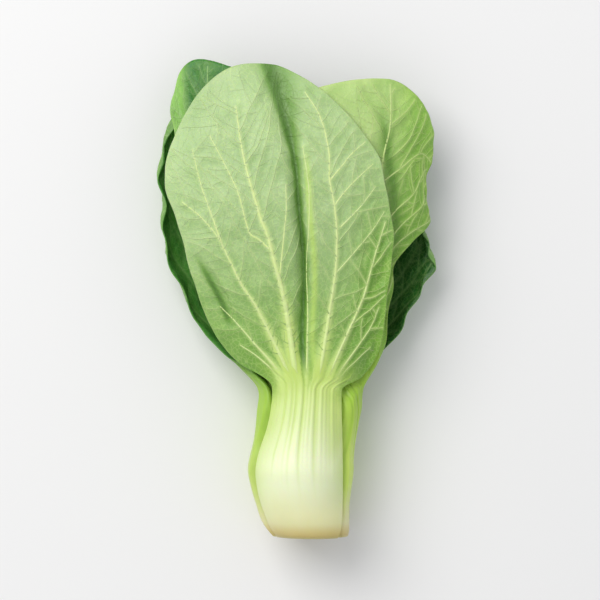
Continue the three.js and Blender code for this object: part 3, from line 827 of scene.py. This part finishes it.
def leaf_solid(leaf, veins, material):
    """The leaf as one closed piece, its veins raised, with the marks that colour its tissue."""
    columns, stalk_rows, blade_rows = leaf["grid"]
    sides = np.linspace(-1, 1, columns + 1)
    sides = np.sign(sides) * (1 - (1 - np.abs(sides)) ** 1.12)
    stalk = np.linspace(0, 1, stalk_rows, endpoint=False)
    alongs = np.concatenate([stalk, np.linspace(1, 2, blade_rows + 1)])
    along, side = np.meshgrid(alongs, sides, indexing="ij")
    faces = both_faces(leaf, side, along)
    outer_move, inner_move, marks = relief(leaf, veins, faces, side)
    outer, inner, normal = [faces[name].reshape(-1, 3) for name in ("outer", "inner", "normal")]
    from_edge = np.minimum(1 - np.abs(side), (2 - along) * 0.8).ravel()
    thinned = 0.55 * (1 - smoothstep(0, 0.035, from_edge)) * (np.ravel(faces["blade"]) > 0)
    inner = inner + (outer - inner) * thinned[:, None] + normal * inner_move[:, None]
    outer = outer + normal * outer_move[:, None]
    outer[:, 2] = np.maximum(outer[:, 2], 0)
    back = side.size
    index = np.arange(back).reshape(side.shape)
    a, b, c, d = index[:-1, :-1], index[:-1, 1:], index[1:, 1:], index[1:, :-1]
    outer_quads = np.stack([a, b, c, d], axis=-1).reshape(-1, 4)
    inner_quads = np.stack([a, d, c, b], axis=-1).reshape(-1, 4) + back
    rim = np.concatenate([index[0, :-1], index[:-1, -1], index[-1, :0:-1], index[:0:-1, 0]])
    ahead = np.roll(rim, -1)
    rim_quads = np.stack([ahead, rim, rim + back, ahead + back], axis=-1)
    quads = np.concatenate([outer_quads, inner_quads, rim_quads]).tolist()
    made = solid(leaf["name"] + "_piece", np.concatenate([outer, inner]), quads, material)
    start_of_green = leaf["neck"] - 6 - 8 * np.abs(np.ravel(side)) ** 3
    green = smoothstep(start_of_green, start_of_green + 20, np.ravel(faces["height"]))
    marks["green"] = green * (1 - 0.85 * marks["flame"])
    seen_inside = dict(up=1, green=1, bloom_minus_painted_shade=1, valley_shade=1, vein=0.8, groove_and_shade=0.4, fold=0)
    for name, share in seen_inside.items():
        store(made.data, name, np.concatenate([marks[name], marks[name] * share]))
    store(made.data, "face", np.repeat([0, 1], back))
    return made


SUNK = (0.62, 0.45, 0.4, 0.4)
STRENGTH = (0.98, 0.55, 0.32, 0.17)


def vein_paths(leaf, veins):
    """The veins as bare edges lying in the surface, with their half widths."""
    faces, order, half_width = veins["faces"], veins["order"], veins["half_width"]
    outer_move, _, marks = relief(leaf, veins, faces, veins["side"])
    emerged = smoothstep(leaf["neck"] - 4, leaf["neck"] + 12, faces["height"])
    deep = np.take(SUNK, order) + 0.7 * (1 - emerged)
    points = faces["outer"] + faces["normal"] * (outer_move - half_width * deep)[:, None]
    points[:, 2] = np.maximum(points[:, 2], half_width)
    starts = np.cumsum(veins["counts"]) - veins["counts"]
    edges = np.concatenate([np.arange(s, s + n - 1) for s, n in zip(starts, veins["counts"])])
    made = drawn(leaf["name"] + "_veins", points, np.stack([edges, edges + 1], axis=1).tolist(), [])
    # Fine veins fade where the painted fold shade lies, and their tubes carry that painted shade too.
    weaker = 1 - 0.75 * np.clip(np.abs(marks["fold"]), 0, 1)
    if leaf["name"] == "leaf_front":
        weaker = (0.4 + 0.8 * marks["bare"]) * weaker
    marks["vein"] = np.take(STRENGTH, order) * np.where(order > 0, weaker, 1)
    marks["fold"] = np.where(order > 0, marks["fold"], 0)
    marks["green"] = smoothstep(leaf["neck"] - 8, leaf["neck"] + 12, faces["height"])
    marks["half_width"] = half_width * MM
    for name in ("bloom_minus_painted_shade", "fold", "half_width", "up", "green", "vein"):
        store(made.data, name, marks[name])
    return made


def begun_tree(name, **inputs):
    """A node tree that takes bare edges, a tissue and more named inputs, and what it is given."""
    tree = bpy.data.node_groups.new(name, "GeometryNodeTree")
    for socket, kind in {"Geometry": "Geometry", **inputs, "Tissue": "Material"}.items():
        tree.interface.new_socket(socket, in_out="INPUT", socket_type="NodeSocket" + kind)
    tree.interface.new_socket("Geometry", in_out="OUTPUT", socket_type="NodeSocketGeometry")
    return tree, add(tree, "NodeGroupInput", {})


def ended_tree(tree, given, shape):
    """The tree with its shape made real and coated in its tissue."""
    real = add(tree, "GeometryNodeRealizeInstances", {"Geometry": shape})["Geometry"]
    coat = add(tree, "GeometryNodeSetMaterial", {"Geometry": real, "Material": given["Tissue"]})
    add(tree, "NodeGroupOutput", {"Geometry": coat["Geometry"]})
    return tree


def tube_tree():
    """Nodes that turn bare edges into closed tapering tubes."""
    tree, given = begun_tree("vein_tubes", Sides="Int")
    line = add(tree, "GeometryNodeMeshToCurve", {"Mesh": given["Geometry"]})["Curve"]
    width = add(tree, "GeometryNodeInputNamedAttribute", {"Name": "half_width"}, data_type="FLOAT")
    ring = add(tree, "GeometryNodeCurvePrimitiveCircle", {"Resolution": given["Sides"], "Radius": 1.0})
    tube = add(tree, "GeometryNodeCurveToMesh", {"Curve": line, "Profile Curve": ring["Curve"],
                                                 "Scale": width["Attribute"], "Fill Caps": True})
    return ended_tree(tree, given, tube["Mesh"])


def made_by(tree, source, **values):
    """Runs a node tree on an object and keeps the result as its plain mesh."""
    modifier = source.modifiers.new("nodes", "NODES")
    modifier.node_group = tree
    for socket in tree.interface.items_tree:
        if socket.in_out == "INPUT" and socket.name in values:
            modifier[socket.identifier] = values[socket.name]
    evaluated = source.evaluated_get(bpy.context.evaluated_depsgraph_get())
    mesh = bpy.data.meshes.new_from_object(evaluated)
    source.modifiers.clear()
    source.data = mesh
    mesh.shade_smooth()
    return source


# Leaf tissue: a pale back with a bloom on it, a darker glossy upper face, and a stalk
# that runs from a stained cut through white to yellow green. It also carries painted shade
# in the folds, beside the veins, on the lower last side of the leaf in front and down one
# side of each stalk, and a painted highlight on the ridge beside the crease.
BLACK, WHITE = srgb(0, 0, 0), srgb(255, 255, 255)
# Painted shade colours for the folds and the vein borders, and a painted highlight for the ridge beside the
# crease.
CREASE_SHADE, CREASE_SHADE_LINE, CREASE_RIM_LIGHT = srgb(96, 146, 42), srgb(60, 106, 22), srgb(184, 216, 104)
DRIED_CUT = ((0.0, srgb(208, 198, 138)), (0.003, srgb(196, 176, 108)), (0.013, srgb(210, 194, 128)),
             (0.03, srgb(222, 220, 166)))


def leaf_tissue(name, back, back_bare_and_shaded, face, stalk_low, stalk_high, vein_colour):
    """The material of one kind of leaf, which reads the marks stored on its points."""
    material, tree, shader = named_material(name, 0.42)

    def mark(of):
        return add(tree, "ShaderNodeAttribute", {}, attribute_name=of)["Fac"]

    def reckon(operation, a, b):
        return add(tree, "ShaderNodeMath", {0: a, 1: b}, operation=operation)["Value"]

    def mix(share, a, b, blend="MIX"):
        return add(tree, "ShaderNodeMix", {0: share, 6: a, 7: b}, data_type="RGBA", blend_type=blend)[2]

    green, fold = mark("green"), mark("fold")
    patchy = noise(tree, 110, 5)
    backs = mix(mark("bloom_minus_painted_shade"), back_bare_and_shaded, back)
    backs = mix(ramp(tree, noise(tree, 38, 3), (0.35, BLACK), (0.65, WHITE)), backs, mix(0.16, backs, face))
    upper = mix(mark("face"), backs, face)
    place = add(tree, "ShaderNodeTexCoord", {})["Object"]
    wobble = noise(tree, 300, output="Color")
    bent = add(tree, "ShaderNodeVectorMath", {0: wobble, 1: (0.0012,) * 3, 2: place},
               operation="MULTIPLY_ADD")
    cells = add(tree, "ShaderNodeTexVoronoi", {"Vector": bent["Vector"], "Scale": 520},
                feature="DISTANCE_TO_EDGE")
    net = ramp(tree, cells["Distance"], (0.0, WHITE), (0.09, BLACK))
    netted = mix(reckon("MULTIPLY", net, 0.24), upper, vein_colour)
    blade_mottle = ramp(tree, patchy, (0.3, srgb(150, 158, 140)), (0.7, srgb(206, 208, 196)))
    mottled = mix(0.5, netted, blade_mottle, "SOFT_LIGHT")
    blade = mix(reckon("MULTIPLY", mark("vein"), 0.85), mottled, vein_colour)
    # Painted shade beside the veins.
    blade = mix(reckon("MULTIPLY", mark("valley_shade"), 0.75), blade, CREASE_SHADE)
    # Painted shade along the folds: a green band first, then a darker core line.
    blade = mix(ramp(tree, fold, (0.0, BLACK), (0.6, srgb(228, 228, 228))), blade, CREASE_SHADE)
    blade = mix(ramp(tree, fold, (0.55, BLACK), (1.0, srgb(206, 206, 206))), blade, CREASE_SHADE_LINE)
    # Painted highlight on the ridge beside the crease.
    blade = mix(reckon("MAXIMUM", reckon("MULTIPLY", fold, -1.0), 0.0), blade, CREASE_RIM_LIGHT)
    stalk_middle = tuple(low * 0.5 + high * 0.5 for low, high in zip(stalk_low, stalk_high))
    stalk = ramp(tree, mark("up"), *DRIED_CUT, (0.11, stalk_low), (0.16, stalk_low), (0.24, stalk_middle),
                 (0.34, stalk_high))
    # Grooves, and painted shade down one side, turn the stalk greener.
    stalk = mix(reckon("MULTIPLY", mark("groove_and_shade"), 0.66), stalk, stalk_high)
    stalk_mottle = ramp(tree, patchy, (0.3, srgb(170, 178, 160)), (0.7, srgb(214, 212, 204)))
    mottled_stalk = mix(0.25, stalk, stalk_mottle, "SOFT_LIGHT")
    net_height = reckon("MULTIPLY", reckon("MULTIPLY", net, green), 0.35)
    height = reckon("ADD", net_height, reckon("MULTIPLY", noise(tree, 1400, 3), 0.25))
    feed(tree, shader, {
        "Base Color": mix(green, mottled_stalk, blade),
        "Roughness": reckon("ADD", reckon("MULTIPLY", patchy, 0.16), 0.34),
        "Normal": bump(tree, height, 0.35, 0.0005),
        "Subsurface Weight": 0.22,
        "Subsurface Radius": (0.7, 1.0, 0.3),
        "Subsurface Scale": 0.0025})
    return material


# For each kind of tissue: the back with its bloom and without (on the leaf in front the
# second is partly painted shade), the upper face, the stalk low and high, and the veins.
TISSUE_COLOURS = {
    "leaf_lower_left": ("lower", (116, 162, 84), (104, 150, 60), (80, 148, 64),
                        (200, 218, 122), (150, 192, 50), (160, 198, 120)),
    "leaf_upper_left": ("upper", (148, 200, 98), (36, 116, 20), (30, 96, 28),
                        (206, 224, 150), (158, 194, 76), (150, 194, 112)),
    "leaf_front": ("front", (177, 205, 146), (122, 170, 58), (62, 118, 44),
                   (238, 246, 206), (186, 212, 100), (224, 245, 160)),
    "leaf_outer": ("outer", (186, 214, 136), (124, 176, 46), (46, 108, 34),
                   (204, 230, 106), (146, 190, 46), (200, 226, 136)),
    "leaf_under": ("under", (120, 166, 88), (104, 150, 60), (34, 92, 32),
                   (220, 234, 176), (168, 200, 90), (160, 198, 120)),
    "leaf_inner": ("inner", (104, 156, 70), (110, 158, 58), (40, 100, 34),
                   (216, 232, 166), (158, 196, 82), (154, 194, 108)),
    "leaf_young": ("young", (150, 186, 84), (160, 190, 80), (112, 160, 60),
                   (222, 234, 170), (190, 212, 110), (190, 214, 120)),
}
tissues = {kind: leaf_tissue(name + "_leaf_tissue", *[srgb(*colour) for colour in colours])
           for kind, (name, *colours) in TISSUE_COLOURS.items()}

PAIRS = ((1.0, 1.34, 1.0), (1.07, 1.6, 0.8), (1.22, 1.76, 0.65), (1.42, 1.88, 0.55), (1.62, 1.95, 0.45))
FEW_PAIRS = ((1.02, 1.5, 0.8), (1.25, 1.75, 0.6), (1.5, 1.92, 0.5))
FRONT_VEINS = (
    (2.1, 0.32, ((1.8, 55), (-0.4, 62), (-1.9, 67.7), (-4.8, 87.2), (-7.2, 99.5), (-10.2, 110.6),
                 (-12.6, 119.9), (-15.6, 127.7), (-18.5, 137.4), (-20.9, 145.7), (-23.6, 158.1),
                 (-25.5, 172))),
    (1.25, 0.3, ((-4.2, 60), (-5.3, 67.2), (-12.6, 82.8), (-17.5, 92.6), (-23.3, 101.3), (-27.7, 110.2),
                (-32.6, 119.9), (-40, 128.5), (-47, 134))),
    (0.6, 0.25, ((-30.4, 115.5), (-34.5, 127), (-39.5, 141), (-43, 155))),
    (0.6, 0.25, ((-11.9, 115), (-16.5, 119.2), (-19.9, 121.4), (-24.5, 137.4), (-31, 151), (-36, 160.5))),
    (0.95, 0.25, ((-6.8, 60.5), (-9, 67), (-17.5, 77), (-25.5, 86), (-32, 92.5))),
    (0.75, 0.25, ((-7.5, 61), (-10.5, 66.5), (-17.5, 72.8), (-24, 77))),
    (1.25, 0.3, ((5.5, 58), (8.2, 67.9), (11.1, 85.5), (13.1, 98.4), (14.4, 108.7), (14.6, 123.6),
                (13.4, 134.5), (11.8, 142.7), (11.5, 154.1), (8, 168), (2, 178))),
    (1.05, 0.3, ((9.5, 58), (12.1, 65.8), (16.7, 76.7), (23, 90.6), (26, 98.4), (29.7, 112), (34, 126))),
    (0.85, 0.25, ((12.5, 59), (15.8, 66.3), (22.4, 75.5), (28.1, 83.9), (31.5, 92))),
    (0.7, 0.22, ((14.2, 60), (17.3, 65.8), (22.7, 71), (28.1, 76.1))),
    (0.45, 0.22, ((16.2, 124), (20.2, 128), (24.3, 132.3), (30, 140))),
    (0.45, 0.22, ((14.5, 106), (16.7, 108.3), (22.5, 115), (28.7, 122.5), (33.5, 130))),
    (0.45, 0.22, ((12, 142.5), (14, 145), (17, 148.6), (20, 152.5), (26, 158))),
    (0.45, 0.22, ((13.8, 132.5), (17, 137), (22, 142.5), (29, 149))),
    (0.6, 0.22, ((2.6, 62), (2.8, 75.2), (3, 92), (2.6, 108.7), (3.6, 125), (3.4, 140), (1, 156))),
    (0.6, 0.25, ((-8.2, 103), (-7.2, 112), (-6.2, 122), (-5.4, 131), (-5.6, 141))),
)
for number, leaf in enumerate(leaves):
    leaf["seed"] = 11 + number * 7
    leaf["fine"] = number < 5
    leaf["pairs"] = PAIRS if number < 7 else FEW_PAIRS
    leaf["strands"] = 7 if number < 3 else 5
    leaf["grid"] = (110, 44, 130) if number < 5 else (70, 34, 90) if number < 8 else (44, 24, 56)
    leaf["dull"] = (0.2, 0.9, 0.35)
front_leaf, _, right_leaf, upper_left_leaf = leaves[:4]
front_leaf["seen_veins"] = FRONT_VEINS
front_leaf["grid"] = (165, 50, 200)
# On the leaf in front the darker back on its lower last side is painted shade, where the blade turns from
# the light.
front_leaf["dull"] = (0.28, 0.84, 0.9)
upper_left_leaf["dull"] = (-0.62, -0.34, 1.0)
right_leaf["dull"] = (-0.3, 0.6, 0.8)
# A painted shadow on the right leaf along the edge of the leaf in front, with a slight dip.
right_leaf["dips"] = ({
    "line": through((118, 39.5), (133, 38.2), (145, 36.8), (153, 35), (162, 34.4), (172, 32.5)),
    "depth": through((112, 0), (124, 0.8), (150, 1), (162, 0.9), (174, 0)),
    "width": 2.6},)

CUT_STOPS = 40
JUST_IN = 0.02
tubes = tube_tree()
cut_arcs = []
for leaf in leaves:
    tissue = tissues.get(leaf["name"], tissues[leaf["slot"]])
    veins = vein_map(leaf)
    piece = leaf_solid(leaf, veins, tissue)
    network = made_by(tubes, vein_paths(leaf, veins), Sides=5, Tissue=tissue)
    if leaf["start"] == 0:
        base = both_faces(leaf, np.linspace(-0.82, 0.82, CUT_STOPS), np.zeros(CUT_STOPS))
        cut_arcs.append(base["outer"] * 0.48 + base["inner"] * 0.52 + (0, JUST_IN, 0))
    claim_room(leaf)
    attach(piece, "root")
    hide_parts(leaf["name"])
    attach(network, "root")


# The strands that carried water up each stalk end on the cut as small tan dots. They are
# tougher than the tissue round them, and the knife left them standing a little proud: a
# ring of them in the stem, and an arc in each stalk that was cut with it.
def strand_tree():
    """Nodes that set small flat beads along bare edges, each of its own size."""
    sizes = dict(Smallest="Vector", Largest="Vector")
    tree, given = begun_tree("cut_strands", Spacing="Float", **sizes, Seed="Int")
    line = add(tree, "GeometryNodeMeshToCurve", {"Mesh": given["Geometry"]})["Curve"]
    evenly = add(tree, "GeometryNodeResampleCurve", {"Curve": line, "Length": given["Spacing"]},
                 mode="LENGTH")
    bead = add(tree, "GeometryNodeMeshIcoSphere", {"Radius": 1.0, "Subdivisions": 2})
    size = add(tree, "FunctionNodeRandomValue", {"Min": given["Smallest"], "Max": given["Largest"],
                                                 "Seed": given["Seed"]}, data_type="FLOAT_VECTOR")
    beads = add(tree, "GeometryNodeInstanceOnPoints", {"Points": evenly["Curve"], "Instance": bead["Mesh"],
                                                       "Scale": size["Value"]})
    return ended_tree(tree, given, beads["Instances"])


turns = np.linspace(0, 360, CUT_STOPS)
ring = point_at(turns, np.full(CUT_STOPS, JUST_IN), np.full(CUT_STOPS, float(core_radius(0)) * 0.7))
points = np.concatenate([ring] + cut_arcs)
edges = [(i, i + 1) for i in range(len(points) - 1) if (i + 1) % CUT_STOPS]
strand_tissue, tree, shader = named_material("cut_strand_tissue", 0.5)
tan = ramp(tree, noise(tree, 700), (0.0, srgb(138, 132, 70)), (1.0, srgb(196, 192, 120)))
feed(tree, shader, {"Base Color": tan})
strands = made_by(strand_tree(), drawn("cut_strands", points, edges, []), Spacing=1.9 * MM,
                  Smallest=(0.22 * MM, 0.14 * MM, 0.22 * MM), Largest=(0.5 * MM, 0.2 * MM, 0.5 * MM),
                  Seed=5, Tissue=strand_tissue)
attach(strands, "root")
